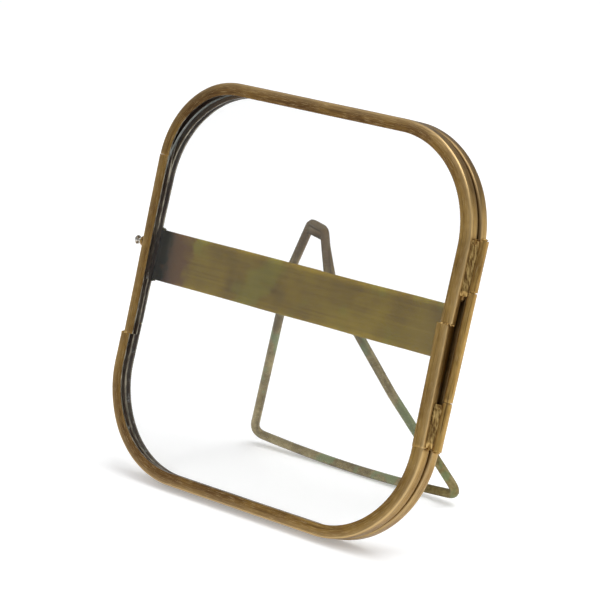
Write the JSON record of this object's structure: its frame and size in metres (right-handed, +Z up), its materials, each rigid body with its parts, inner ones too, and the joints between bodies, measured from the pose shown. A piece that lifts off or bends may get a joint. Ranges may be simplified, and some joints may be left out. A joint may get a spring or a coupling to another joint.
{
  "type": "photo stand",
  "caption": "Leaning double-glass photo stand: two hinged folded-brass rims with rounded corners, a screw latch, a flat back band and a folding bent-wire stand.",
  "frame": {"origin": "on the ground, under the middle of the whole object's box", "axes": "+Z up, +X across the rim towards the hinge, -Y to the front, where the picture is seen"},
  "size_m": [0.1568, 0.0626, 0.1414],
  "materials": {
    "brass": "antiqued brown brass, satin, with fine lengthwise scratches",
    "olive_brass": "olive patina, satin, mottled",
    "green_wire": "grey-green patina, dull",
    "glass": "clear, polished",
    "nickel": "worn nickel plate"
  },
  "bodies": {
    "back_half": {"back_rim_upper": "brass", "back_rim_lower": "brass", "back_glass": "glass", "back_band": "olive_brass", "stand_clip": "brass", "latch_tongue": "brass", "hinge_knuckle_middle": "brass", "hinge_pin": "brass"},
    "front_half": {"front_rim_upper": "brass", "front_rim_lower": "brass", "front_rim_latch_side": "brass", "front_rim_hinge_side": "brass", "front_glass": "glass", "hinge_knuckle_upper": "brass", "hinge_knuckle_lower": "brass", "hinge_leaf_upper": "brass", "hinge_leaf_lower": "brass", "latch_boss": "brass"},
    "latch_screw": {"latch_screw": "nickel"},
    "stand": {"stand_wire": "green_wire", "stand_cross_wire": "green_wire"}
  },
  "joints": [
    {"name": "cover_hinge", "type": "hinge", "parent": "back_half", "child": "front_half", "pos_m": [0.07676, -0.00308, 0.07315], "axis": [0, 0.319, 0.9478], "range_deg": [0, 170]},
    {"name": "stand_fold", "type": "hinge", "parent": "back_half", "child": "stand", "pos_m": [0.00031, 0.00656, 0.07955], "axis": [-1, 0, 0], "range_deg": [0, 35]},
    {"name": "latch_screw_slide", "type": "slide", "parent": "front_half", "child": "latch_screw", "axis": [-1, 0, 0], "range_m": [0, 0.003]}
  ]
}
